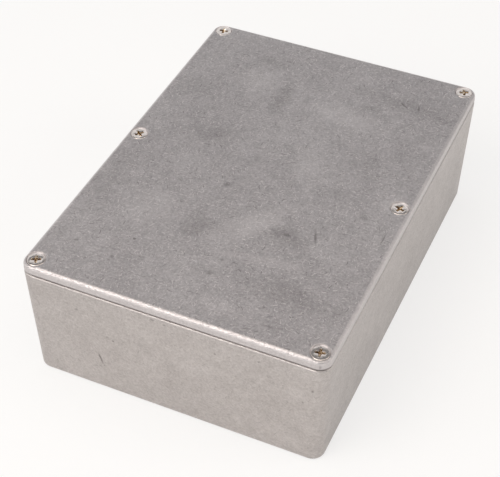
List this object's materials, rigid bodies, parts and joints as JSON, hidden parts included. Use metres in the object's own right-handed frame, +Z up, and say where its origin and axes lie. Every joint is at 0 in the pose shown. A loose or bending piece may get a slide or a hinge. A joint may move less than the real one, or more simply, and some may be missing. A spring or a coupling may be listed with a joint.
{
  "type": "die cast aluminium box",
  "caption": "Rectangular die cast enclosure with drafted walls, rounded corners and a flat lid held by countersunk cross-recess screws",
  "frame": {"origin": "middle of the underside, on the surface that the box stands on", "axes": "+Z up through the lid, X across the short side, Y along the long side, front is the short side at -Y"},
  "size_m": [0.121, 0.171, 0.055],
  "materials": {
    "cast_box": "as cast and tumbled, matt grey with fine specks",
    "cast_lid": "as cast and tumbled, matt grey with fine specks and short scratches",
    "plated_screw": "bright nickel plated steel"
  },
  "bodies": {
    "root": {"box": "cast_box", "lid": "cast_lid", "lid_screw_front_left": "plated_screw", "lid_screw_front_right": "plated_screw", "lid_screw_middle_left": "plated_screw", "lid_screw_middle_right": "plated_screw", "lid_screw_back_left": "plated_screw", "lid_screw_back_right": "plated_screw"}
  },
  "joints": []
}
